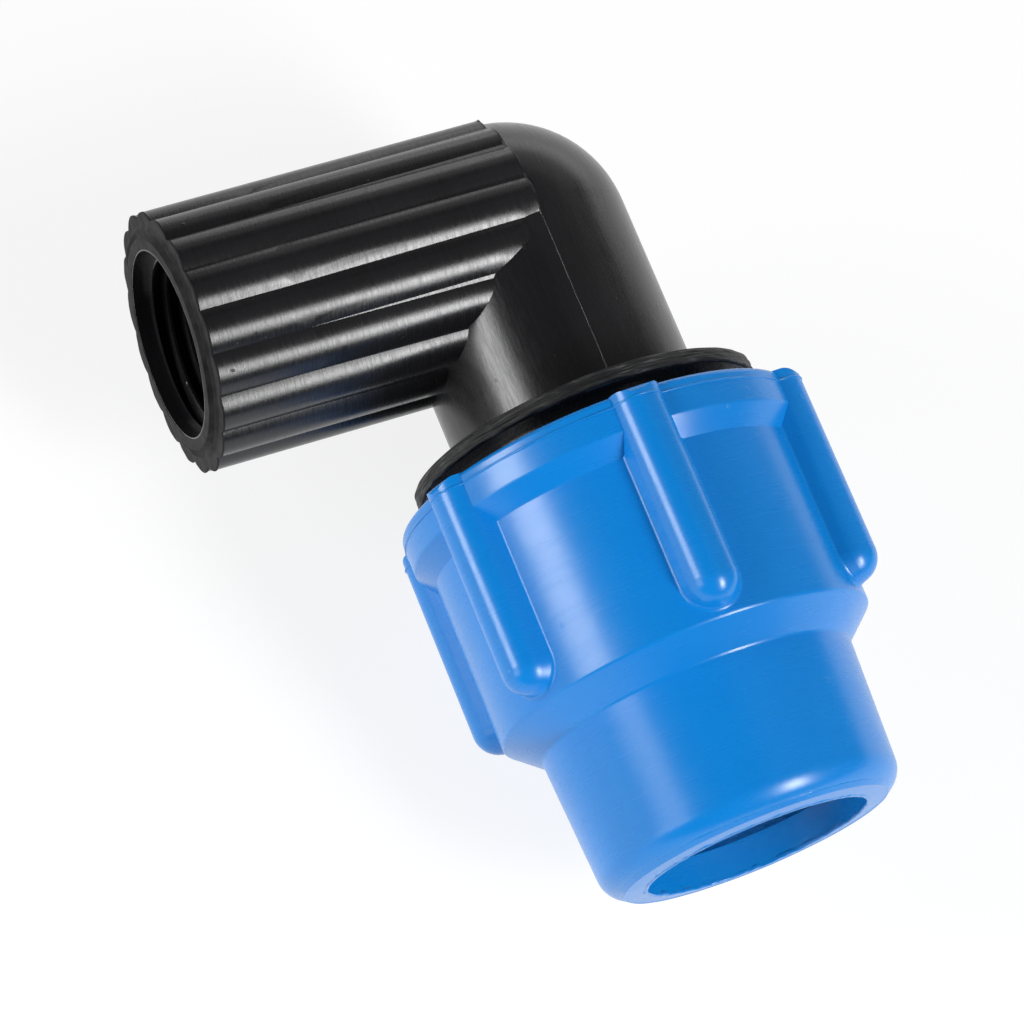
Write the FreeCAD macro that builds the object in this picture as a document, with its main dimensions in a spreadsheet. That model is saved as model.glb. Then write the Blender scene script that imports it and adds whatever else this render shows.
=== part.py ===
import FreeCAD, Part
import math
import os
import Sketcher

# Compression elbow for 25 mm polyethylene pipe, with a G 1/2 female thread at 90 degrees.
#
# Every sub-part is drawn in one local frame: local Z is the pipe axis, running from the
# crossing of the two axes out through the nut's mouth, and local -X is the branch axis.
# PLACED lays that frame down: the pipe axis then points along -Y and the branch along -X,
# with the origin on the branch axis where the female thread starts.

# alias, value in mm (angles in degrees), what it is
SIZES = [
    # the elbow's outside
    ("neck_radius", 14.35, "neck and dome"),
    ("neck_start", 0.3, "where the turned outline starts, inside the dome"),
    ("collar_top", 23.4, "stop collar, side facing the elbow"),
    ("collar_foot", 25.0, "stop collar, side facing the nut"),
    ("collar_radius", 20.0, "stop collar"),
    ("neck_fillet", 0.8, "round between neck and collar"),
    ("collar_round", 0.3, "round on the collar's edges"),
    ("branch_length", 40.3, "ribbed sleeve, from the crossing to its end face"),
    ("branch_core", 14.4, "solid core of the ribbed sleeve, at the dome"),
    ("core_draft", 0.57, "draft of the core, narrowing towards the mouth"),
    ("lobe_radius", 3.75, "one rounded rib of the sleeve, at the dome"),
    ("lobe_draft", 0.21, "draft of a rib"),
    ("lobe_centre", 11.2, "distance of a rib's centre from the branch axis"),
    ("lobe_count", 18, "ribs round the sleeve"),
    ("lip_radius", 12.0, "raised lip at the branch mouth"),
    ("branch_end", 40.9, "lip face, from the crossing"),
    # the elbow's inside
    ("water_radius", 10.4, "waterway in the neck and in the bend"),
    ("branch_water_radius", 8.4, "waterway in the branch"),
    ("branch_water_end", 22.0, "where the branch waterway opens into the thread"),
    ("port_minor_radius", 9.3155, "G 1/2 female thread, crest"),
    ("port_major_radius", 10.4775, "G 1/2 female thread, root"),
    ("port_pitch", 1.8143, "G 1/2, 14 threads to the inch"),
    ("port_start", 39.1, "thread start, from the crossing"),
    ("port_recess_radius", 10.6, "plain recess at the branch mouth"),
    ("thread_half_root", 0.15, "half width of the female groove at its root"),
    ("thread_half_mouth", 0.755, "half width of the female groove at its mouth"),
    ("thread_turns_length", 15.0, "axial length of the female groove"),
    ("pipe_stop", 24.7, "ledge where the pipe's end stops"),
    ("socket_radius", 12.75, "pipe socket"),
    ("seat_bottom", 41.5, "bottom of the seal's seat"),
    ("seat_radius", 15.75, "wall of the seal's seat"),
    # spigot and its male thread
    ("spigot_radius", 17.4, "spigot, thread root"),
    ("spigot_end", 47.2, "end of the spigot"),
    ("spigot_crest", 18.9, "male thread crest"),
    ("spigot_sunk", 17.2, "foot of the thread ridge, sunk into the spigot"),
    ("nut_pitch", 4.0, "thread of nut and spigot"),
    ("male_middle", 27.8, "height of the male ridge's middle where it starts"),
    ("male_length", 17.6, "axial length of the male ridge"),
    ("ridge_half_foot", 1.05, "half width of a ridge at its foot"),
    ("ridge_half_crest", 0.6, "half width of a ridge at its crest"),
    # nut
    ("rim_top", 27.55, "nut face towards the collar"),
    ("rim_radius", 23.3, "plain band at the rim"),
    ("rim_round", 0.6, "round on the rim's edge"),
    ("band_foot", 31.6, "end of the band"),
    ("band_chamfer_foot", 33.9, "end of the chamfer below the band"),
    ("barrel_radius", 21.6, "main cylinder"),
    ("barrel_foot", 53.6, "end of the main cylinder"),
    ("waist_radius", 18.14, "top of the lower cylinder"),
    ("waist_top", 56.7, "top of the lower cylinder"),
    ("tail_radius", 17.3, "end of the lower cylinder"),
    ("tail_foot", 73.4, "end face at its outer edge"),
    ("tail_round", 3.0, "round on the end's outer edge"),
    ("mouth_foot", 73.85, "end face at the mouth"),
    ("mouth_radius", 12.8, "mouth for the pipe"),
    ("mouth_depth_end", 70.2, "inner end of the mouth's wall"),
    ("cone_small_radius", 13.75, "small end of the inner cone"),
    ("cone_small_end", 69.6, "small end of the inner cone"),
    ("cone_large_radius", 16.6, "large end of the inner cone"),
    ("cone_large_end", 52.2, "large end of the inner cone"),
    ("chamber_radius", 17.9, "room for the bush's flange"),
    ("chamber_end", 51.2, "end of that room"),
    ("nut_bore_end", 48.7, "end of the threaded skirt's bore"),
    ("nut_bore_radius", 19.2, "threaded skirt's bore, thread root"),
    ("nut_sunk", 19.4, "foot of the nut's ridge, sunk into the skirt"),
    ("nut_crest", 17.7, "nut thread crest"),
    ("nut_thread_length", 15.6, "axial length of the nut's ridge"),
    ("nut_turned", 4.5, "how far the nut is turned from ribs straight up"),
    ("rib_count", 6, "grip ribs round the nut"),
    ("rib_start", 27.6, "rib end at the rim"),
    ("rib_round_centre", 49.55, "centre of the rib's half-round end"),
    ("rib_foot_radius", 21.2, "foot of a rib, sunk into the barrel"),
    ("rib_half_foot", 3.35, "half width of a rib at its foot"),
    ("rib_crest_round", 3.0, "round of a rib's crest"),
    ("rib_crest_centre", 21.93, "centre of that round, from the pipe axis"),
    ("rib_fillet", 0.5, "fillet between a rib and the barrel"),
    ("rib_top_round", 1.0, "round on a rib's end at the rim"),
    ("edge_round", 0.4, "small rounds on the nut's turned edges"),
    # grip ring
    ("grip_front", 51.9, "grip ring, end towards the bush"),
    ("grip_back", 67.6, "grip ring, small end"),
    ("grip_front_radius", 16.4, "outer cone at the front"),
    ("grip_back_radius", 13.85, "outer cone at the back"),
    ("grip_tooth_radius", 12.62, "tooth crests"),
    ("grip_root_radius", 13.15, "between the teeth"),
    ("grip_tooth_count", 6, "rows of teeth"),
    ("grip_tooth_pitch", 2.2, "distance between the teeth"),
    ("grip_first_tooth", 53.6, "first tooth crest"),
    ("grip_slot_width", 3.0, "gap of the split ring"),
    # thrust bush
    ("bush_bore", 12.75, "bush bore"),
    ("bush_nose", 45.95, "end that presses the seal"),
    ("bush_nose_radius", 15.5, "nose, inside the seal's seat"),
    ("bush_shoulder", 48.4, "flange, side facing the spigot"),
    ("bush_back", 50.4, "flange, side facing the grip ring"),
    ("bush_flange_radius", 17.2, "flange"),
    # seal ring
    ("seal_section", 1.5, "section radius of the seal"),
    ("seal_ring_radius", 14.12, "centre circle of the seal"),
    ("seal_middle", 43.7, "height of the seal's middle"),
]

FULL_TURN = 360.0
VERTICAL_AXIS = -2  # Sketcher's number for a sketch's vertical axis
START = 1  # Sketcher's numbers for the two ends of an edge
END = 2
CENTRE = 3

doc = FreeCAD.newDocument("CompressionElbow")
sheet = doc.addObject("Spreadsheet::Sheet", "Sizes")
for row, (alias, value, meaning) in enumerate(SIZES, start=1):
    sheet.set(f"A{row}", meaning)
    sheet.set(f"B{row}", str(value))
    sheet.setAlias(f"B{row}", alias)
doc.recompute()


def size(alias):
    return float(getattr(sheet, alias))


PLACED = FreeCAD.Placement(
    FreeCAD.Vector(size("port_start"), 0, 0),
    FreeCAD.Rotation(FreeCAD.Vector(1, 0, 0), 90),
)


def new_body(label):
    body = doc.addObject("PartDesign::Body", label)
    body.Label = label
    return body


def origin_plane(body, role):
    return next(f for f in body.Origin.OriginFeatures if f.Role == role)


def new_sketch(body, name, role):
    sketch = body.newObject("Sketcher::SketchObject", name)
    sketch.AttachmentSupport = [(origin_plane(body, role), "")]
    sketch.MapMode = "FlatFace"
    return sketch


def fix_point(sketch, edge, end, across, along):
    """Hold one vertex at (across, along), each an expression and its value."""
    for kind, (expression, _) in (("DistanceX", across), ("DistanceY", along)):
        value = across[1] if kind == "DistanceX" else along[1]
        index = sketch.addConstraint(Sketcher.Constraint(kind, -1, 1, edge, end, value))
        sketch.setExpression(f"Constraints[{index}]", expression)


def cell(alias, sign=1):
    """A sheet cell as an expression and its value."""
    prefix = "" if sign > 0 else "-"
    return f"{prefix}Sizes.{alias}", sign * size(alias)


def shifted(alias, other, factor):
    """A sheet cell plus a multiple of another one."""
    expression = f"Sizes.{alias} + ({factor}) * Sizes.{other}"
    return expression, size(alias) + factor * size(other)


def outline(sketch, corners):
    """A closed outline of straight edges through the corners."""
    points = [FreeCAD.Vector(across[1], along[1], 0) for across, along in corners]
    count = len(points)
    for i, point in enumerate(points):
        sketch.addGeometry(Part.LineSegment(point, points[(i + 1) % count]), False)
    for i in range(count):
        sketch.addConstraint(Sketcher.Constraint("Coincident", i, END, (i + 1) % count, START))
    for i, (across, along) in enumerate(corners):
        fix_point(sketch, i, START, across, along)


def circle(sketch, radius_alias, centre_alias=None):
    """A circle round the sketch's origin, or up its vertical axis."""
    up = size(centre_alias) if centre_alias else 0.0
    shape = Part.Circle(FreeCAD.Vector(0, up, 0), FreeCAD.Vector(0, 0, 1), size(radius_alias))
    edge = sketch.addGeometry(shape, False)
    if centre_alias:
        sketch.addConstraint(Sketcher.Constraint("PointOnObject", edge, CENTRE, VERTICAL_AXIS))
        lift = sketch.addConstraint(Sketcher.Constraint("DistanceY", -1, 1, edge, CENTRE, up))
        sketch.setExpression(f"Constraints[{lift}]", f"Sizes.{centre_alias}")
    else:
        sketch.addConstraint(Sketcher.Constraint("Coincident", edge, CENTRE, -1, 1))
    radius = sketch.addConstraint(Sketcher.Constraint("Radius", edge, size(radius_alias)))
    sketch.setExpression(f"Constraints[{radius}]", f"Sizes.{radius_alias}")


def cells(pairs):
    return [(cell(across), cell(along)) for across, along in pairs]


def turned(body, name, corners, kind="Revolution"):
    """A full turn of an outline about the pipe axis, added or cut."""
    sketch = new_sketch(body, name + "Outline", "XZ_Plane")
    outline(sketch, corners)
    feature = body.newObject("PartDesign::" + kind, name)
    feature.Profile = sketch
    feature.ReferenceAxis = (sketch, ["V_Axis"])
    feature.Angle = FULL_TURN
    doc.recompute()
    return feature


def ridge(body, name, corners, axis, pitch_alias, length_alias, kind="AdditiveHelix"):
    """A right-hand helical ridge or groove of the outline's section."""
    sketch = new_sketch(body, name + "Section", "XZ_Plane")
    outline(sketch, corners)
    helix = body.newObject("PartDesign::" + kind, name)
    helix.Profile = sketch
    helix.ReferenceAxis = (sketch, [axis])
    helix.HasBeenEdited = True
    helix.Mode = "pitch-height-angle"
    helix.setExpression("Pitch", f"Sizes.{pitch_alias}")
    helix.setExpression("Height", f"Sizes.{length_alias}")
    helix.LeftHanded = False
    doc.recompute()
    return helix


def round_edges(body, name, radius_alias, wanted):
    """Fillet the circular edges for which wanted(edge) is true."""
    base = body.Tip
    names = [f"Edge{i}" for i, edge in enumerate(base.Shape.Edges, start=1) if wanted(edge)]
    fillet = body.newObject("PartDesign::Fillet", name)
    fillet.Base = (base, names)
    fillet.setExpression("Radius", f"Sizes.{radius_alias}")
    doc.recompute()
    return fillet


def is_ring(edge, radius_alias, height_alias):
    """Is this edge a circle about the pipe axis, of that radius and at that height?"""
    if edge.Degenerated or not isinstance(edge.Curve, Part.Circle):
        return False
    off_axis = math.hypot(edge.Curve.Center.x, edge.Curve.Center.y)
    return (
        off_axis < 0.01
        and abs(edge.Curve.Radius - size(radius_alias)) < 0.01
        and abs(edge.Curve.Center.z - size(height_alias)) < 0.01
    )


def check_cut(body, before, name):
    """A cut that points away from the solid shows no error, so its volume is compared."""
    after = body.Shape.Volume
    if after >= before - 1.0:
        raise RuntimeError(f"{name} removed nothing")
    return after


def make_elbow_body():
    body = new_body("elbow_body")
    turned(body, "NeckAndSpigot", cells([
        ("water_radius", "neck_start"),
        ("neck_radius", "neck_start"),
        ("neck_radius", "collar_top"),
        ("collar_radius", "collar_top"),
        ("collar_radius", "collar_foot"),
        ("spigot_radius", "collar_foot"),
        ("spigot_radius", "spigot_end"),
        ("seat_radius", "spigot_end"),
        ("seat_radius", "seat_bottom"),
        ("socket_radius", "seat_bottom"),
        ("socket_radius", "pipe_stop"),
        ("water_radius", "pipe_stop"),
    ]))
    round_edges(body, "NeckFillet", "neck_fillet",
                lambda edge: is_ring(edge, "neck_radius", "collar_top"))
    round_edges(body, "CollarRounds", "collar_round",
                lambda edge: is_ring(edge, "collar_radius", "collar_top")
                or is_ring(edge, "collar_radius", "collar_foot"))

    dome = body.newObject("PartDesign::AdditiveSphere", "Dome")
    dome.setExpression("Radius", "Sizes.neck_radius")

    core = new_sketch(body, "BranchCoreOutline", "YZ_Plane")
    circle(core, "branch_core")
    add_pad(body, "BranchCore", core, "branch_length", "core_draft")
    lobe = new_sketch(body, "LobeOutline", "YZ_Plane")
    lobe.setExpression("AttachmentOffset.Rotation.Angle", "180 / Sizes.lobe_count")
    circle(lobe, "lobe_radius", "lobe_centre")
    one_lobe = add_pad(body, "Lobe", lobe, "branch_length", "lobe_draft")
    pattern = body.newObject("PartDesign::PolarPattern", "Lobes")
    pattern.Originals = [one_lobe]
    pattern.Axis = (lobe, ["N_Axis"])
    pattern.Angle = FULL_TURN
    pattern.setExpression("Occurrences", "Sizes.lobe_count")
    body.Tip = pattern
    lip = new_sketch(body, "LipOutline", "YZ_Plane")
    circle(lip, "lip_radius")
    add_pad(body, "Lip", lip, "branch_end")
    doc.recompute()

    volume = body.Shape.Volume
    bend = body.newObject("PartDesign::SubtractiveSphere", "BendWaterway")
    bend.setExpression("Radius", "Sizes.water_radius")
    doc.recompute()
    volume = check_cut(body, volume, "the bend's waterway")
    neck = body.newObject("PartDesign::SubtractiveCylinder", "NeckWaterway")
    neck.setExpression("Radius", "Sizes.water_radius")
    neck.setExpression("Height", "Sizes.pipe_stop")
    doc.recompute()
    volume = check_cut(body, volume, "the neck's waterway")
    for name, radius, start, end in [
        ("BranchWaterway", "branch_water_radius", None, "branch_end"),
        ("ThreadBore", "port_minor_radius", "branch_water_end", "branch_end"),
        ("PortRecess", "port_recess_radius", "port_start", "branch_end"),
    ]:
        sketch = new_sketch(body, name + "Outline", "YZ_Plane")
        circle(sketch, radius)
        pocket = body.newObject("PartDesign::Pocket", name)
        pocket.Profile = sketch
        pocket.Reversed = False
        if start:
            sketch.setExpression("AttachmentOffset.Base.z", f"-Sizes.{start}")
            pocket.setExpression("Length", f"Sizes.{end} - Sizes.{start}")
        else:
            pocket.setExpression("Length", f"Sizes.{end}")
        doc.recompute()
        volume = check_cut(body, volume, name)

    ridge(body, "PortThread", [
        (shifted_back("port_start", "port_pitch", 0.9, "thread_half_mouth", -1),
         cell("port_minor_radius")),
        (shifted_back("port_start", "port_pitch", 0.9, "thread_half_root", -1),
         cell("port_major_radius")),
        (shifted_back("port_start", "port_pitch", 0.9, "thread_half_root", 1),
         cell("port_major_radius")),
        (shifted_back("port_start", "port_pitch", 0.9, "thread_half_mouth", 1),
         cell("port_minor_radius")),
    ], "H_Axis", "port_pitch", "thread_turns_length", "SubtractiveHelix")
    check_cut(body, volume, "the female thread")

    ridge(body, "SpigotThread", ridge_section("spigot_sunk", "spigot_crest", "male_middle"),
          "V_Axis", "nut_pitch", "male_length")
    body.Placement = PLACED
    return body


def shifted_back(alias, other, factor, half_width, sign):
    """A place on the branch axis, on local -X, moved out by part of a pitch and by a half width."""
    expression = f"-Sizes.{alias} - {factor} * Sizes.{other} + ({sign}) * Sizes.{half_width}"
    value = -size(alias) - factor * size(other) + sign * size(half_width)
    return expression, value


def ridge_section(foot_alias, crest_alias, middle_alias, lift=None):
    """A trapezoid thread section, wide at its foot and narrow at its crest."""
    extra_expression, extra = lift or ("0", 0.0)
    corners = []
    for radius, half_width, sign in [
        (foot_alias, "ridge_half_foot", -1),
        (crest_alias, "ridge_half_crest", -1),
        (crest_alias, "ridge_half_crest", 1),
        (foot_alias, "ridge_half_foot", 1),
    ]:
        expression, value = shifted(middle_alias, half_width, sign)
        corners.append((cell(radius), (f"{expression} + {extra_expression}", value + extra)))
    return corners


def add_pad(body, name, sketch, length_alias, draft_alias=None):
    """A pad from the sketch's plane towards local -X, narrowing by the draft angle."""
    pad = body.newObject("PartDesign::Pad", name)
    pad.Profile = sketch
    pad.setExpression("Length", f"Sizes.{length_alias}")
    pad.Reversed = True
    if draft_alias:
        pad.setExpression("TaperAngle", f"-Sizes.{draft_alias}")
    doc.recompute()
    return pad


def rib_outline(sketch, whole):
    """A grip rib's section, with a round crest and flanks tangent to it; its right half only
    where whole is false. Sketch x runs round the nut, sketch y away from the pipe axis."""
    half_foot = size("rib_half_foot")
    foot = size("rib_foot_radius")
    centre = size("rib_crest_centre")
    crest_round = size("rib_crest_round")
    reach = math.hypot(half_foot, centre - foot)
    tilt = math.atan2(foot - centre, half_foot) + math.acos(crest_round / reach)
    touch = FreeCAD.Vector(crest_round * math.cos(tilt), centre + crest_round * math.sin(tilt), 0)
    corner = FreeCAD.Vector(half_foot, foot, 0)
    left_corner = FreeCAD.Vector(-half_foot if whole else 0.0, foot, 0)
    middle = FreeCAD.Vector(0, centre, 0)
    last_angle = math.pi - tilt if whole else math.pi / 2

    base = sketch.addGeometry(Part.LineSegment(left_corner, corner), False)
    flank = sketch.addGeometry(Part.LineSegment(corner, touch), False)
    crest_circle = Part.Circle(middle, FreeCAD.Vector(0, 0, 1), crest_round)
    crest = sketch.addGeometry(Part.ArcOfCircle(crest_circle, tilt, last_angle), False)
    top = FreeCAD.Vector(crest_round * math.cos(last_angle),
                         centre + crest_round * math.sin(last_angle), 0)
    close = sketch.addGeometry(Part.LineSegment(top, left_corner), False)

    sketch.addConstraint(Sketcher.Constraint("Coincident", base, END, flank, START))
    sketch.addConstraint(Sketcher.Constraint("Tangent", flank, END, crest, START))
    sketch.addConstraint(Sketcher.Constraint("Coincident", close, END, base, START))
    fix_point(sketch, base, END, cell("rib_half_foot"), cell("rib_foot_radius"))
    sketch.addConstraint(Sketcher.Constraint("PointOnObject", crest, CENTRE, VERTICAL_AXIS))
    lift = sketch.addConstraint(Sketcher.Constraint("DistanceY", -1, 1, crest, CENTRE, centre))
    sketch.setExpression(f"Constraints[{lift}]", "Sizes.rib_crest_centre")
    radius = sketch.addConstraint(Sketcher.Constraint("Radius", crest, crest_round))
    sketch.setExpression(f"Constraints[{radius}]", "Sizes.rib_crest_round")
    if whole:
        sketch.addConstraint(Sketcher.Constraint("Tangent", crest, END, close, START))
        fix_point(sketch, base, START, cell("rib_half_foot", -1), cell("rib_foot_radius"))
    else:
        sketch.addConstraint(Sketcher.Constraint("Coincident", crest, END, close, START))
        sketch.addConstraint(Sketcher.Constraint("Horizontal", base))
        sketch.addConstraint(Sketcher.Constraint("PointOnObject", close, START, VERTICAL_AXIS))
        sketch.addConstraint(Sketcher.Constraint("PointOnObject", close, END, VERTICAL_AXIS))


def meets_barrel(edge):
    """Does this edge run where a rib meets the nut's main cylinder?"""
    if edge.Degenerated:
        return False
    points = edge.discretize(5)
    on_barrel = all(abs(math.hypot(p.x, p.y) - size("barrel_radius")) < 0.001 for p in points)
    inside = all(size("band_chamfer_foot") - 0.01 < p.z < size("barrel_foot") - 0.01 for p in points)
    level = abs(points[0].z - points[-1].z) < 0.01 and abs(points[0].z - points[2].z) < 0.01
    return on_barrel and inside and not level


def round_rib_tops(body):
    """Turn the ribs' outer corners at the rim to a round."""
    radius = size("rib_top_round")
    out = size("rib_crest_centre") + size("rib_crest_round") - radius
    down = size("rib_start") + radius
    centre = FreeCAD.Vector(out, down, 0)
    above = FreeCAD.Vector(out, down - radius, 0)
    beside = FreeCAD.Vector(out + radius, down, 0)
    far = FreeCAD.Vector(out + 2 * radius, down, 0)
    far_above = FreeCAD.Vector(out + 2 * radius, down - 2 * radius, 0)
    near_above = FreeCAD.Vector(out, down - 2 * radius, 0)

    sketch = new_sketch(body, "RibTopOutline", "XZ_Plane")
    whole = Part.Circle(centre, FreeCAD.Vector(0, 0, 1), radius)
    arc = sketch.addGeometry(Part.ArcOfCircle(whole, -math.pi / 2, 0), False)
    sides = []
    for start, end in [(beside, far), (far, far_above), (far_above, near_above), (near_above, above)]:
        sides.append(sketch.addGeometry(Part.LineSegment(start, end), False))
    joined = [(arc, END), (sides[0], START), (sides[0], END), (sides[1], START), (sides[1], END),
              (sides[2], START), (sides[2], END), (sides[3], START), (sides[3], END), (arc, START)]
    for (first, first_end), (second, second_end) in zip(joined[::2], joined[1::2]):
        sketch.addConstraint(
            Sketcher.Constraint("Coincident", first, first_end, second, second_end))
    sketch.addConstraint(Sketcher.Constraint("Horizontal", sides[0]))
    sketch.addConstraint(Sketcher.Constraint("Vertical", sides[1]))
    sketch.addConstraint(Sketcher.Constraint("Horizontal", sides[2]))
    sketch.addConstraint(Sketcher.Constraint("Vertical", sides[3]))
    sketch.addConstraint(Sketcher.Constraint("Horizontal", arc, CENTRE, arc, END))
    sketch.addConstraint(Sketcher.Constraint("Vertical", arc, CENTRE, arc, START))
    across = "Sizes.rib_crest_centre + Sizes.rib_crest_round"
    fix_point(sketch, arc, CENTRE,
              (f"{across} - Sizes.rib_top_round", out),
              ("Sizes.rib_start + Sizes.rib_top_round", down))
    size_of_arc = sketch.addConstraint(Sketcher.Constraint("Radius", arc, radius))
    sketch.setExpression(f"Constraints[{size_of_arc}]", "Sizes.rib_top_round")
    fix_point(sketch, sides[1], END,
              (f"{across} + Sizes.rib_top_round", out + 2 * radius),
              ("Sizes.rib_start - Sizes.rib_top_round", down - 2 * radius))
    groove = body.newObject("PartDesign::Groove", "RibTops")
    groove.Profile = sketch
    groove.ReferenceAxis = (sketch, ["V_Axis"])
    groove.Angle = FULL_TURN
    doc.recompute()


def make_compression_nut():
    body = new_body("compression_nut")
    turned(body, "NutShell", cells([
        ("nut_bore_radius", "rim_top"),
        ("rim_radius", "rim_top"),
        ("rim_radius", "band_foot"),
        ("barrel_radius", "band_chamfer_foot"),
        ("barrel_radius", "barrel_foot"),
        ("waist_radius", "waist_top"),
        ("tail_radius", "tail_foot"),
        ("mouth_radius", "mouth_foot"),
        ("mouth_radius", "mouth_depth_end"),
        ("cone_small_radius", "cone_small_end"),
        ("cone_large_radius", "cone_large_end"),
        ("chamber_radius", "chamber_end"),
        ("nut_bore_radius", "nut_bore_end"),
    ]))
    round_edges(body, "RimRound", "rim_round",
                lambda edge: is_ring(edge, "rim_radius", "rim_top"))
    round_edges(body, "TailRound", "tail_round",
                lambda edge: is_ring(edge, "tail_radius", "tail_foot"))
    round_edges(body, "WaistRounds", "edge_round",
                lambda edge: is_ring(edge, "barrel_radius", "barrel_foot")
                or is_ring(edge, "waist_radius", "waist_top"))

    # the ribs: a straight run and a half-round end
    run_outline = new_sketch(body, "RibRunOutline", "XY_Plane")
    run_outline.setExpression("AttachmentOffset.Base.z", "Sizes.rib_start")
    rib_outline(run_outline, whole=True)
    run = body.newObject("PartDesign::Pad", "RibRun")
    run.Profile = run_outline
    run.setExpression("Length", "Sizes.rib_round_centre - Sizes.rib_start")
    end_outline = new_sketch(body, "RibEndOutline", "XY_Plane")
    end_outline.setExpression("AttachmentOffset.Base.z", "Sizes.rib_round_centre")
    rib_outline(end_outline, whole=False)
    end = body.newObject("PartDesign::Revolution", "RibEnd")
    end.Profile = end_outline
    end.ReferenceAxis = (end_outline, ["V_Axis"])
    end.Angle = FULL_TURN
    doc.recompute()
    ribs = body.newObject("PartDesign::PolarPattern", "Ribs")
    ribs.Originals = [run, end]
    ribs.Axis = (run_outline, ["N_Axis"])
    ribs.Angle = FULL_TURN
    ribs.setExpression("Occurrences", "Sizes.rib_count")
    body.Tip = ribs
    doc.recompute()
    round_rib_tops(body)
    round_edges(body, "BandRounds", "edge_round",
                lambda edge: is_ring(edge, "rim_radius", "band_foot"))
    round_edges(body, "RibFillets", "rib_fillet", meets_barrel)

    # The nut's ridge runs midway between two turns of the spigot's ridge. The nut is turned
    # by nut_turned, so its ridge starts that much of a pitch further along.
    lift_expression = f"Sizes.nut_pitch * (0.5 + Sizes.nut_turned / {FULL_TURN})"
    lift = size("nut_pitch") * (0.5 + size("nut_turned") / FULL_TURN)
    ridge(body, "NutThread",
          ridge_section("nut_sunk", "nut_crest", "male_middle", (lift_expression, lift)),
          "V_Axis", "nut_pitch", "nut_thread_length")
    turned_by = FreeCAD.Rotation(FreeCAD.Vector(0, 0, 1), size("nut_turned"))
    body.Placement = PLACED.multiply(FreeCAD.Placement(FreeCAD.Vector(0, 0, 0), turned_by))
    return body


def make_grip_ring():
    body = new_body("grip_ring")
    corners = cells([
        ("grip_root_radius", "grip_front"),
        ("grip_front_radius", "grip_front"),
        ("grip_back_radius", "grip_back"),
        ("grip_root_radius", "grip_back"),
    ])
    # the teeth, from the small end back to the front, each with its crest and the root before it
    for i in reversed(range(int(size("grip_tooth_count")))):
        corners.append((cell("grip_tooth_radius"),
                        shifted("grip_first_tooth", "grip_tooth_pitch", i)))
        if i:
            corners.append((cell("grip_root_radius"),
                            shifted("grip_first_tooth", "grip_tooth_pitch", i - 0.2)))
    turned(body, "GripShell", corners)
    volume = body.Shape.Volume
    slot_outline = new_sketch(body, "SlotOutline", "XZ_Plane")
    outline(slot_outline, [
        (half_slot(-1), cell("pipe_stop")),
        (half_slot(1), cell("pipe_stop")),
        (half_slot(1), cell("mouth_foot")),
        (half_slot(-1), cell("mouth_foot")),
    ])
    slot = body.newObject("PartDesign::Pocket", "Slot")
    slot.Profile = slot_outline
    slot.Reversed = True
    slot.setExpression("Length", "Sizes.grip_front_radius + 1")
    doc.recompute()
    check_cut(body, volume, "the grip ring's slot")
    body.Placement = PLACED
    return body


def half_slot(sign):
    expression = f"({sign}) * Sizes.grip_slot_width / 2"
    return expression, sign * size("grip_slot_width") / 2


def make_thrust_bush():
    body = new_body("thrust_bush")
    turned(body, "BushShell", cells([
        ("bush_bore", "bush_nose"),
        ("bush_nose_radius", "bush_nose"),
        ("bush_nose_radius", "bush_shoulder"),
        ("bush_flange_radius", "bush_shoulder"),
        ("bush_flange_radius", "bush_back"),
        ("bush_bore", "bush_back"),
    ]))
    body.Placement = PLACED
    return body


def make_seal_ring():
    """A plain O-ring, round in section."""
    seal = doc.addObject("Part::Torus", "seal_ring")
    seal.Label = "seal_ring"
    seal.setExpression("Radius1", "Sizes.seal_ring_radius")
    seal.setExpression("Radius2", "Sizes.seal_section")
    lifted = FreeCAD.Placement(FreeCAD.Vector(0, 0, size("seal_middle")), FreeCAD.Rotation())
    seal.Placement = PLACED.multiply(lifted)
    return seal


def check(parts):
    doc.recompute()
    for item in doc.Objects:
        if "Invalid" in item.State or "Error" in item.State:
            raise RuntimeError(f"{item.Label} failed: {item.State}")
    for part in parts:
        shape = part.Shape
        if shape.isNull() or not shape.isValid() or len(shape.Solids) != 1:
            raise RuntimeError(f"{part.Label} is not one valid solid")
        box = shape.BoundBox
        print(f"{part.Label}: {shape.Volume:.0f} mm3, x {box.XMin:.2f}..{box.XMax:.2f}, "
              f"y {box.YMin:.2f}..{box.YMax:.2f}, z {box.ZMin:.2f}..{box.ZMax:.2f}")


PARTS = [
    make_elbow_body(),
    make_compression_nut(),
    make_grip_ring(),
    make_thrust_bush(),
    make_seal_ring(),
]
check(PARTS)
os.makedirs("parts", exist_ok=True)
for sub_part in PARTS:
    sub_part.Shape.exportStep(f"parts/{sub_part.Label}.step")
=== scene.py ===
import math

import bmesh
import bpy
from mathutils import Matrix, Quaternion, Vector, noise


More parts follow.
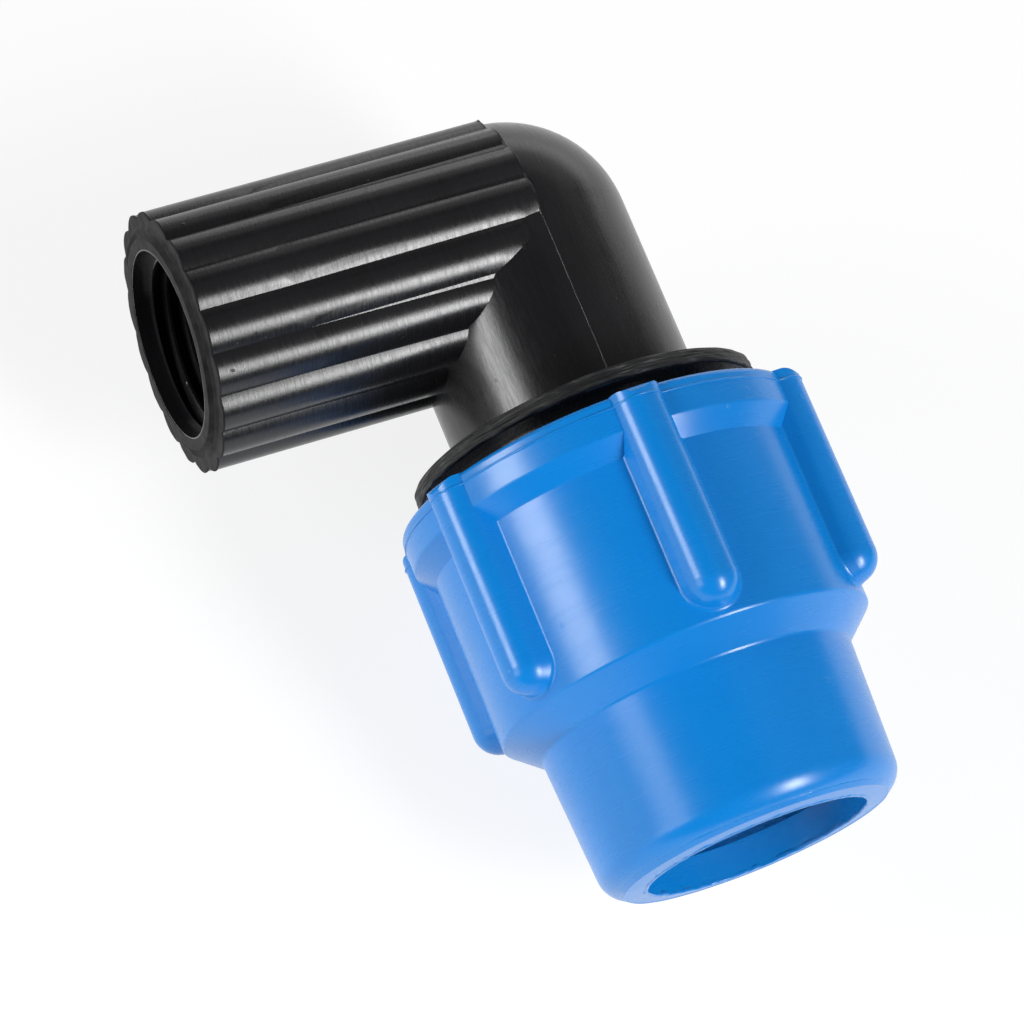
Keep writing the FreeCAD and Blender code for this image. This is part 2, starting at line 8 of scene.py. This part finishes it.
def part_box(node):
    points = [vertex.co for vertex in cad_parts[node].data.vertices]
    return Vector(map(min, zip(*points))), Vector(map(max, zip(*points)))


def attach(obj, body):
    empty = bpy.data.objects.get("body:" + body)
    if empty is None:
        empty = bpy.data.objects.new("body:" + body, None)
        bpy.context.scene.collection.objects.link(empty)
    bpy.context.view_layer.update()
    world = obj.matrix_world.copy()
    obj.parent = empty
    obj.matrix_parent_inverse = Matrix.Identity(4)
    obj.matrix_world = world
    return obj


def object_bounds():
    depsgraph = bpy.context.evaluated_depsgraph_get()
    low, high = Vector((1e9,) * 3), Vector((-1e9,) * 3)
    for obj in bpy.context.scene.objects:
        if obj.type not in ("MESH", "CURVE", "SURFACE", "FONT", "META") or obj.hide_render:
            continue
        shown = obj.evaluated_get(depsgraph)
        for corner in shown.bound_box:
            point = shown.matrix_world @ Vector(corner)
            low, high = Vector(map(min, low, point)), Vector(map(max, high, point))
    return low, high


MM = 0.001
MICRON = 0.000001

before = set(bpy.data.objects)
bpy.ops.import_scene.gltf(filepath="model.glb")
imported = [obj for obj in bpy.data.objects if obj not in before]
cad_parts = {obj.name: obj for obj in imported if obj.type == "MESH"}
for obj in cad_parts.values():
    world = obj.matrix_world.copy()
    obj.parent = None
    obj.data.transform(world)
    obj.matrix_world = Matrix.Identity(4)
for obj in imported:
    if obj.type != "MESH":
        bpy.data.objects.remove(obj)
cad_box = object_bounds()

# ---------------------------------------------------------------- places and sizes
BUSH_LOW, BUSH_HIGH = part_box("thrust_bush")
NUT_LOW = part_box("compression_nut")[0]

# The pipe axis is the line x = AXIS_X, z = 0, and the branch axis is the line y = 0, z = 0.
# "Along" is the distance down either of them from their crossing.
AXIS_X = (BUSH_LOW[0] + BUSH_HIGH[0]) / 2
NECK_RADIUS = 14.35 * MM
COLLAR_TOP = 23.4 * MM
COLLAR_FOOT = 25.0 * MM
COLLAR_RADIUS = 20.0 * MM

# the nut: its band at the rim, its ribs' round crests and its mouth
RIM_TOP = 27.55 * MM
RIM_RADIUS = 23.3 * MM
RIB_CENTRE = 21.93 * MM
RIB_ROUND = 3.0 * MM
RIB_COUNT = 6
NUT_TURNED = math.radians(4.5)
MOUTH = -NUT_LOW[1]
MOUTH_RADIUS = 12.8 * MM
MOUTH_FACE_RADIUS = 15.4 * MM

# the branch: a drafted core with drafted round lobes on it, and a lip past its end
SLEEVE_LENGTH = 40.3 * MM
SLEEVE_CORE = 14.4 * MM
LOBE_CENTRE = 11.2 * MM
LOBE_RADIUS = 3.75 * MM
LOBE_COUNT = 18
CORE_DRAFT = math.radians(0.57)
LOBE_DRAFT = math.radians(0.21)
LIP_INSIDE = 10.75 * MM
LIP_RADIUS = 12.0 * MM
LIP_LENGTH = 40.9 * MM


def on_pipe(radius, turn, along):
    """A point at that radius round the pipe axis, turned from +Z towards -X, and that far
    along it from the crossing of the two axes."""
    return Vector((AXIS_X - radius * math.sin(turn), -along, radius * math.cos(turn)))


def on_branch(radius, turn, along):
    """A point at that radius round the branch axis, turned from +Z towards +Y, and that far
    along it from the crossing."""
    return Vector((AXIS_X - along, radius * math.sin(turn), radius * math.cos(turn)))


def past_crest(turn, count, first=0.0):
    """The angle from the nearest of count crests, the first of them at that turn."""
    pitch = 2 * math.pi / count
    return (turn - first + pitch / 2) % pitch - pitch / 2


def sleeve_outline(turn, along):
    """The ribbed sleeve's radius at that turn and distance from the crossing."""
    core = SLEEVE_CORE - along * math.tan(CORE_DRAFT)
    lobe = LOBE_RADIUS - along * math.tan(LOBE_DRAFT)
    off_crest = past_crest(turn, LOBE_COUNT)
    across = LOBE_CENTRE * math.sin(off_crest)
    return max(core, LOBE_CENTRE * math.cos(off_crest) + math.sqrt(lobe ** 2 - across ** 2))


def rib_height(turn):
    """How far the nut's ribs stand out of its band at that turn."""
    off_rib = past_crest(turn, RIB_COUNT, NUT_TURNED)
    across = RIB_CENTRE * math.sin(off_rib)
    if abs(across) >= RIB_ROUND:
        return 0.0
    crest = RIB_CENTRE * math.cos(off_rib) + math.sqrt(RIB_ROUND ** 2 - across ** 2)
    return max(0.0, crest - RIM_RADIUS)


# ---------------------------------------------------------------- materials
def new_material(name, roughness, specular):
    material = bpy.data.materials.new(name)
    material.use_nodes = True
    nodes = material.node_tree.nodes
    nodes.clear()
    output = nodes.new("ShaderNodeOutputMaterial")
    shader = nodes.new("ShaderNodeBsdfPrincipled")
    shader.inputs["Roughness"].default_value = roughness
    shader.inputs["Specular IOR Level"].default_value = specular
    link(material, shader.outputs["BSDF"], output.inputs["Surface"])
    return material, shader


def link(material, source, target):
    material.node_tree.links.new(source, target)


def mapped_position(material, stretch):
    """Object coordinates, scaled apart along the three axes."""
    nodes = material.node_tree.nodes
    place = nodes.new("ShaderNodeTexCoord")
    mapping = nodes.new("ShaderNodeMapping")
    mapping.inputs["Scale"].default_value = stretch
    link(material, place.outputs["Object"], mapping.inputs["Vector"])
    return mapping.outputs["Vector"]


def noise_texture(material, scale, detail, stretch=(1, 1, 1), roughness=0.5):
    """Noise in object space, with scale in features per metre."""
    node = material.node_tree.nodes.new("ShaderNodeTexNoise")
    node.inputs["Scale"].default_value = scale
    node.inputs["Detail"].default_value = detail
    node.inputs["Roughness"].default_value = roughness
    link(material, mapped_position(material, stretch), node.inputs["Vector"])
    return node.outputs["Fac"]


def ramp(material, source, stops):
    """A colour ramp with stops of (place, colour)."""
    node = material.node_tree.nodes.new("ShaderNodeValToRGB")
    ends = node.color_ramp.elements
    while len(ends) < len(stops):
        ends.new(0.5)
    for end, (place, colour) in zip(ends, stops):
        end.position = place
        end.color = (*colour, 1.0)
    link(material, source, node.inputs["Fac"])
    return node.outputs["Color"]


def range_of(material, source, low, high, start=0.3, stop=0.7):
    """Source's values from start to stop, spread over low to high."""
    node = material.node_tree.nodes.new("ShaderNodeMapRange")
    node.inputs["From Min"].default_value = start
    node.inputs["From Max"].default_value = stop
    node.inputs["To Min"].default_value = low
    node.inputs["To Max"].default_value = high
    link(material, source, node.inputs["Value"])
    return node.outputs["Result"]


def bump(material, source, depth, under=None):
    """A normal bumped by source, on top of the normal under."""
    node = material.node_tree.nodes.new("ShaderNodeBump")
    node.inputs["Distance"].default_value = depth
    node.inputs["Strength"].default_value = 1.0
    link(material, source, node.inputs["Height"])
    if under is not None:
        link(material, under, node.inputs["Normal"])
    return node.outputs["Normal"]


def mottled(name, roughness, specular, cloud, stops, grain, depth):
    """A plain moulded surface: a cloudy base colour and a fine bumped grain. cloud and grain
    are (scale, detail) of their noise."""
    material, shader = new_material(name, roughness, specular)
    colour = ramp(material, noise_texture(material, *cloud), stops)
    link(material, colour, shader.inputs["Base Color"])
    link(material, bump(material, noise_texture(material, *grain), depth), shader.inputs["Normal"])
    return material


def blue_plastic():
    """Moulded polypropylene with a soft gloss, very slight swirls in its colour, fine marks
    round the pipe axis and a few specks."""
    material, shader = new_material("nut_blue_pp", 0.27, 0.55)
    swirl = noise_texture(material, 55, 3, (1, 0.5, 1))
    colour = ramp(material, swirl, [(0.3, (0.0008, 0.214, 0.65)), (0.7, (0.0014, 0.236, 0.72))])
    link(material, colour, shader.inputs["Base Color"])
    haze = noise_texture(material, 700, 5, (0.15, 1, 0.15), 0.6)
    link(material, range_of(material, haze, 0.25, 0.29), shader.inputs["Roughness"])
    waves = bump(material, noise_texture(material, 110, 2), 50 * MICRON)
    streaks = noise_texture(material, 3000, 4, (0.10, 1, 0.10), 0.6)
    marks = bump(material, streaks, 1.2 * MICRON, under=waves)
    specks = range_of(material, noise_texture(material, 620, 1), 0.0, 1.0, 0.76, 0.79)
    link(material, bump(material, specks, 20 * MICRON, under=marks), shader.inputs["Normal"])
    shader.inputs["Subsurface Weight"].default_value = 0.08
    shader.inputs["Subsurface Radius"].default_value = (0.1, 0.3, 1.0)
    shader.inputs["Subsurface Scale"].default_value = 2 * MM
    return material


def black_plastic():
    """Black polypropylene with fine scratches square to the branch, a grain and a few pits."""
    material, shader = new_material("body_black_pp", 0.28, 0.55)
    cloud = noise_texture(material, 90, 4)
    colour = ramp(material, cloud, [(0.3, (0.0070, 0.0070, 0.0080)),
                                    (0.7, (0.0115, 0.0115, 0.0130))])
    link(material, colour, shader.inputs["Base Color"])
    scratches = noise_texture(material, 3600, 6, (1, 0.09, 0.09), 0.68)
    link(material, range_of(material, scratches, 0.20, 0.33), shader.inputs["Roughness"])
    across = bump(material, scratches, 8 * MICRON)
    grain = bump(material, noise_texture(material, 3200, 3), 4 * MICRON, under=across)
    pits = range_of(material, noise_texture(material, 900, 1.5), 0.0, 1.0, 0.745, 0.80)
    link(material, bump(material, pits, 40 * MICRON, under=grain), shader.inputs["Normal"])
    return material


def trimmed_plastic():
    """The trimmed edge of the collar: matte, and scored round the pipe axis."""
    material, shader = new_material("body_black_trimmed", 0.5, 0.4)
    scores = noise_texture(material, 1500, 5, (0.18, 2.8, 0.18), 0.75)
    colour = ramp(material, scores, [(0.40, (0.003, 0.003, 0.003)), (0.54, (0.016, 0.016, 0.016)),
                                     (0.66, (0.110, 0.110, 0.105))])
    link(material, colour, shader.inputs["Base Color"])
    link(material, bump(material, scores, 120 * MICRON), shader.inputs["Normal"])
    return material


def floor_material():
    """A pale floor, most of whose tone is its own, so that shadows on it stay faint."""
    material, shader = new_material("floor_pale", 0.9, 0.1)
    shader.inputs["Emission Color"].default_value = (1.0, 1.0, 1.0, 1.0)
    shader.inputs["Emission Strength"].default_value = 0.83
    shade = noise_texture(material, 3, 2)
    colour = ramp(material, shade, [(0.3, (0.18, 0.18, 0.18)), (0.7, (0.20, 0.20, 0.20))])
    link(material, colour, shader.inputs["Base Color"])
    return material


BLUE = blue_plastic()
BLACK = black_plastic()
TRIMMED = trimmed_plastic()
CUT = mottled("body_black_cut", 0.6, 0.12,
              (600, 4), [(0.3, (0.006, 0.006, 0.007)), (0.7, (0.024, 0.024, 0.025))],
              (1500, 3), 30 * MICRON)
ACETAL = mottled("grip_white_acetal", 0.45, 0.5,
                 (160, 3), [(0.3, (0.72, 0.72, 0.68)), (0.7, (0.80, 0.80, 0.77))],
                 (1400, 3), 10 * MICRON)
BUSH_PLASTIC = mottled("bush_black_pp", 0.5, 0.45,
                       (200, 3), [(0.3, (0.012, 0.012, 0.013)), (0.7, (0.022, 0.022, 0.024))],
                       (1700, 3), 10 * MICRON)
RUBBER = mottled("seal_black_rubber", 0.65, 0.35,
                 (350, 4), [(0.3, (0.010, 0.010, 0.010)), (0.75, (0.028, 0.027, 0.026))],
                 (2200, 3), 10 * MICRON)


def carried_nodes():
    for node, material in {
        "elbow_body": BLACK,
        "compression_nut": BLUE,
        "grip_ring": ACETAL,
        "thrust_bush": BUSH_PLASTIC,
        "seal_ring": RUBBER,
    }.items():
        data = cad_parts[node].data
        data.materials.clear()
        data.materials.append(material)


# ---------------------------------------------------------------- detail pieces
def stand_in_scene(name, mesh, material):
    """An object of that mesh, linked to the scene."""
    data = bpy.data.meshes.new(name)
    mesh.to_mesh(data)
    mesh.free()
    data.materials.append(material)
    piece = bpy.data.objects.new(name, data)
    bpy.context.scene.collection.objects.link(piece)
    return piece


def add_mesh(name, mesh, material, body):
    for face in mesh.faces:
        face.smooth = True
    piece = stand_in_scene(name, mesh, material)
    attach(piece, body)


def grid_mesh(rows, closed_rows=False):
    """A closed skin of quads through rows of points, each row a closed outline. It is a ring
    with closed_rows, and otherwise a bar with capped ends."""
    mesh = bmesh.new()
    verts = [[mesh.verts.new(point) for point in row] for row in rows]
    row_count, side_count = len(rows), len(rows[0])
    for i in range(row_count if closed_rows else row_count - 1):
        lower, upper = verts[i], verts[(i + 1) % row_count]
        for j in range(side_count):
            after = (j + 1) % side_count
            mesh.faces.new((lower[j], lower[after], upper[after], upper[j]))
    if not closed_rows:
        mesh.faces.new(verts[0])
        mesh.faces.new(verts[-1])
    bmesh.ops.recalc_face_normals(mesh, faces=mesh.faces)
    return mesh


def corners(radius, along, offsets):
    """Points of a section, as offsets in millimetres from that radius and distance along."""
    return [(radius + out * MM, along + down * MM) for out, down in offsets]


def ring(name, section, material, body, steps, jitter, grain, swell=None):
    """A ring round the pipe axis: section is a closed list of (radius, along). jitter moves
    its points in and out a little, as on a torn or trimmed edge, and grain is how quickly that
    changes round the axis and along it. swell widens the ring at each turn."""
    rows = []
    for i in range(steps):
        turn = 2 * math.pi * i / steps
        wider = swell(turn) if swell else 0.0
        row = []
        for narrow, along in section:
            radius = narrow + wider
            point = on_pipe(radius, turn, along)
            place = Vector((point.x * grain[0], point.y * grain[1], point.z * grain[0]))
            shift = jitter * noise.noise(place)
            row.append(on_pipe(radius + shift, turn, along + 0.4 * shift))
        rows.append(row)
    add_mesh(name, grid_mesh(rows, closed_rows=True), material, body)


def parting_line():
    """The mould's parting line: a low uneven ridge from the collar over the dome and back,
    in the plane of the pipe axis that faces the branch."""
    height = 0.07 * MM
    half_width = 0.11 * MM
    depth_sunk = 0.05 * MM
    stray = 0.06 * MM
    height_grain, width_grain, stray_grain = 420, 800, 150
    straight = COLLAR_TOP - 0.9 * MM
    step = 0.2 * MM
    count = int(straight / step)
    arc_steps = int(math.pi * NECK_RADIUS / step)
    spine = [on_pipe(NECK_RADIUS, 0.0, straight - i * step) for i in range(count)]
    for i in range(arc_steps):
        turn = math.pi * i / arc_steps
        spine.append(Vector((AXIS_X, NECK_RADIUS * math.sin(turn), NECK_RADIUS * math.cos(turn))))
    spine += [on_pipe(NECK_RADIUS, math.pi, i * step) for i in range(count)]
    rows = []
    for point in spine:
        out = Vector((0, max(point.y, 0.0), point.z)).normalized()
        lift = height * (0.75 + 0.5 * noise.noise(point * height_grain)) * out
        side = Vector((half_width * (1 + 0.4 * noise.noise(point * width_grain)), 0, 0))
        place = point + Vector((stray * noise.noise(point * stray_grain), 0, 0))
        foot = place - depth_sunk * out
        top = place + lift
        rows.append([foot - side, top - 0.4 * side, top + 0.4 * side, foot + side])
    add_mesh("neck_parting_line", grid_mesh(rows), BLACK, "elbow")


def sleeve_end_flash():
    """Flash along the ribbed sleeve's end, where the halves of the mould met: a thin line with
    burrs on it. It starts and ends inside the neck."""
    start, end = math.radians(-12), math.radians(192)
    steps = 1200
    burr_grain, lift_grain = 700, 300
    rows = []
    for i in range(steps + 1):
        turn = start + (end - start) * i / steps
        radius = sleeve_outline(turn, 0.0)
        place = on_branch(radius, turn, 0.0)
        burr = max(0.0, noise.noise(place * burr_grain) - 0.22)
        lift = (0.03 + 0.05 * noise.noise(place * lift_grain) + 0.55 * burr) * MM
        rows.append([
            on_branch(radius - 0.08 * MM, turn, 0.22 * MM),
            on_branch(radius + lift, turn, 0.07 * MM),
            on_branch(radius + lift, turn, -0.03 * MM),
            on_branch(radius - 0.25 * MM, turn, -0.03 * MM),
        ])
    add_mesh("sleeve_end_flash", grid_mesh(rows), BLACK, "elbow")


def branch_mouth_face():
    """The cut end of the branch: an uneven skin over the lip's face, down its side and out
    over the ribs' ends, with a low ridge on the way and a ragged outer edge."""
    steps = 1440
    lip_side = LIP_RADIUS + 0.03 * MM
    ridge_radius, ridge_width = 12.95 * MM, 0.19 * MM
    rib_end_steps = 12
    skin_back = 0.25 * MM
    edge_grain, lip_grain, relief_grain, ridge_grain = 900, 700, 800, 260
    rows = []
    for i in range(steps):
        turn = 2 * math.pi * i / steps
        edge = sleeve_outline(turn, SLEEVE_LENGTH)
        edge += 0.05 * MM * (1 + 1.6 * noise.noise(on_branch(edge, turn, 0.0) * edge_grain))
        row = []
        for share in (0.0, 0.12, 0.3, 0.5, 0.7, 0.88, 1.0):
            radius = LIP_INSIDE + share * (LIP_RADIUS - LIP_INSIDE)
            rough = 0.03 + 0.03 * noise.noise(on_branch(radius, turn, 0.0) * lip_grain)
            row.append(on_branch(radius, turn, LIP_LENGTH + rough * MM))
        for j in range(rib_end_steps + 1):
            radius = lip_side + (edge - lip_side) * j / rib_end_steps
            place = on_branch(radius, turn, 0.0)
            ridge = math.exp(-((radius - ridge_radius) / ridge_width) ** 2)
            ridge *= 0.8 + 0.5 * noise.noise(place * ridge_grain)
            relief = 0.05 + 0.04 * noise.noise(place * relief_grain) + 0.36 * ridge
            row.append(on_branch(radius, turn, SLEEVE_LENGTH + relief * MM))
        row += [
            on_branch(edge, turn, SLEEVE_LENGTH - 0.12 * MM),
            on_branch(edge - 0.25 * MM, turn, SLEEVE_LENGTH - skin_back),
            on_branch(LIP_INSIDE, turn, SLEEVE_LENGTH - skin_back),
        ]
        rows.append(row)
    mesh = grid_mesh(rows, closed_rows=True)
    add_mesh("branch_mouth_face", mesh, CUT, "elbow")


def collar_edge():
    """The stop collar's rim, where flash was trimmed off: a skin scored round and round."""
    skin = 0.1 * MM
    bands = 24
    first = COLLAR_TOP + 0.1 * MM
    width = COLLAR_FOOT - COLLAR_TOP - 0.2 * MM
    section = [(COLLAR_RADIUS - 0.3 * MM, COLLAR_TOP - skin)]
    section += [(COLLAR_RADIUS + skin, first + width * i / bands) for i in range(bands + 1)]
    section += [
        (COLLAR_RADIUS - 0.3 * MM, COLLAR_FOOT + skin),
        (COLLAR_RADIUS - 0.5 * MM, COLLAR_FOOT - 0.3 * MM),
        (COLLAR_RADIUS - 0.5 * MM, COLLAR_TOP + 0.3 * MM),
    ]
    ring("collar_trimmed_edge", section, TRIMMED, "elbow",
         steps=1400, jitter=0.14 * MM, grain=(420, 5200))


def rim_flash():
    """A thin line of flash round the nut's rim, over its band and its ribs."""
    section = corners(RIM_RADIUS, RIM_TOP + 1.3 * MM, [
        (-0.10, -0.22), (0.05, -0.14), (0.12, -0.02), (0.09, 0.08), (-0.10, 0.14),
    ])
    ring("nut_rim_flash", section, BLUE, "nut",
         steps=1440, jitter=0.07 * MM, grain=(420, 420), swell=rib_height)


def mouth_face():
    """The flat face round the nut's mouth, with a fine raised line at its outer edge, and
    blended into the round outside it."""
    section = corners(MOUTH_RADIUS, MOUTH, [(0.12, 0.0), (0.40, -0.02)])
    section += corners(MOUTH_FACE_RADIUS, MOUTH, [
        (-0.35, -0.200), (-0.14, -0.215), (-0.04, -0.160), (0.05, -0.220), (0.14, -0.310),
        (0.50, -0.530), (0.80, -0.800), (0.60, -1.200),
    ])
    section += corners(MOUTH_RADIUS, MOUTH, [(0.40, -0.60), (0.12, -0.30)])
    ring("nut_mouth_face", section, BLUE, "nut",
         steps=720, jitter=0.03 * MM, grain=(300, 300))


def mouth_burr():
    """The ragged inner edge of the nut's mouth."""
    section = corners(MOUTH_RADIUS, MOUTH, [
        (0.45, -0.12), (0.35, 0.03), (0.05, 0.08), (-0.08, -0.02), (-0.02, -0.30), (0.12, -0.60),
        (0.40, -0.60),
    ])
    ring("nut_mouth_burr", section, BLUE, "nut",
         steps=1200, jitter=0.15 * MM, grain=(1000, 500))


# ---------------------------------------------------------------- stage
def towards(azimuth, elevation):
    """The unit vector at that azimuth and elevation, both in degrees."""
    a, e = math.radians(azimuth), math.radians(elevation)
    return Vector((math.cos(e) * math.cos(a), math.cos(e) * math.sin(a), math.sin(e)))


def area_light(name, place, target, width, height, lean, power):
    """A rectangle of light that faces target. lean tips its top towards a higher azimuth."""
    data = bpy.data.lights.new(name, "AREA")
    data.shape = "RECTANGLE"
    data.size = width
    data.size_y = height
    data.energy = power
    light = bpy.data.objects.new(name, data)
    light.location = place
    light.rotation_mode = "QUATERNION"
    facing = (target - place).to_track_quat("-Z", "Y")
    light.rotation_quaternion = facing @ Quaternion((0, 0, 1), -math.radians(lean))
    bpy.context.scene.collection.objects.link(light)


def studio():
    """Soft boxes on the sides of the two mouths: a strong one with a weak one beside it for
    the branch, and a tall one with a brighter core for the nut. A large dim fill on the right,
    a pale sweep behind the part with a dimmer one above it, and a dim room."""
    centre = (Vector(cad_box[0]) + Vector(cad_box[1])) / 2
    reach = 0.9
    # name, azimuth and elevation, width and height, lean, radiance
    for name, azimuth, elevation, width, height, lean, radiance in [
        ("branch_side_softbox", 157, 21, 0.38, 0.33, 0, 11.0),
        ("branch_side_fill", -171, 19, 0.35, 0.45, 0, 3.0),
        ("mouth_side_softbox", -61, 42, 0.24, 0.62, 20, 9.0),
        ("mouth_side_core", -61, 43, 0.17, 0.30, 20, 17.0),
        ("right_fill", -5, 50, 1.20, 1.20, 0, 0.1),
        ("low_sweep", 48, 4, 0.98, 0.30, 0, 1.6),
        ("high_sweep", 52, 26, 0.80, 0.33, 0, 0.4),
    ]:
        place = centre + reach * towards(azimuth, elevation)
        power = radiance * math.pi * width * height
        area_light(name, place, centre, width, height, lean, power)
    world = bpy.data.worlds.new("dim_room")
    world.use_nodes = True
    background = world.node_tree.nodes["Background"]
    background.inputs["Color"].default_value = (1.0, 1.0, 1.0, 1.0)
    background.inputs["Strength"].default_value = 0.07
    bpy.context.scene.world = world
    bpy.context.scene.view_settings.view_transform = "Standard"


def floor():
    half = 3.0
    level = cad_box[0][2] - 0.02 * MM
    mesh = bmesh.new()
    sides = ((-1, -1), (1, -1), (1, 1), (-1, 1))
    mesh.faces.new([mesh.verts.new((x * half, y * half, level)) for x, y in sides])
    stand_in_scene("floor", mesh, floor_material())


def camera():
    """A long lens above the part, towards the corner between the two mouths, rolled so that
    the branch points left and the nut down to the right."""
    roll = math.radians(30.912)
    aim = Vector((27.766, -29.767, 0.0)) * MM
    distance = 432.9 * MM
    back = towards(-140.673, 64.938)
    level_right = Vector((0, 0, 1)).cross(back).normalized()
    level_up = back.cross(level_right)
    right = math.cos(roll) * level_right + math.sin(roll) * level_up
    up = back.cross(right)
    data = bpy.data.cameras.new("camera")
    data.sensor_width = 36.0
    data.lens = 138.36
    data.clip_start = 0.01
    data.clip_end = 20.0
    eye = bpy.data.objects.new("camera", data)
    turn = Matrix((right, up, back)).transposed()
    eye.matrix_world = Matrix.Translation(aim + distance * back) @ turn.to_4x4()
    bpy.context.scene.collection.objects.link(eye)
    bpy.context.scene.camera = eye


carried_nodes()
parting_line()
sleeve_end_flash()
branch_mouth_face()
collar_edge()
rim_flash()
mouth_face()
mouth_burr()
studio()
floor()
camera()
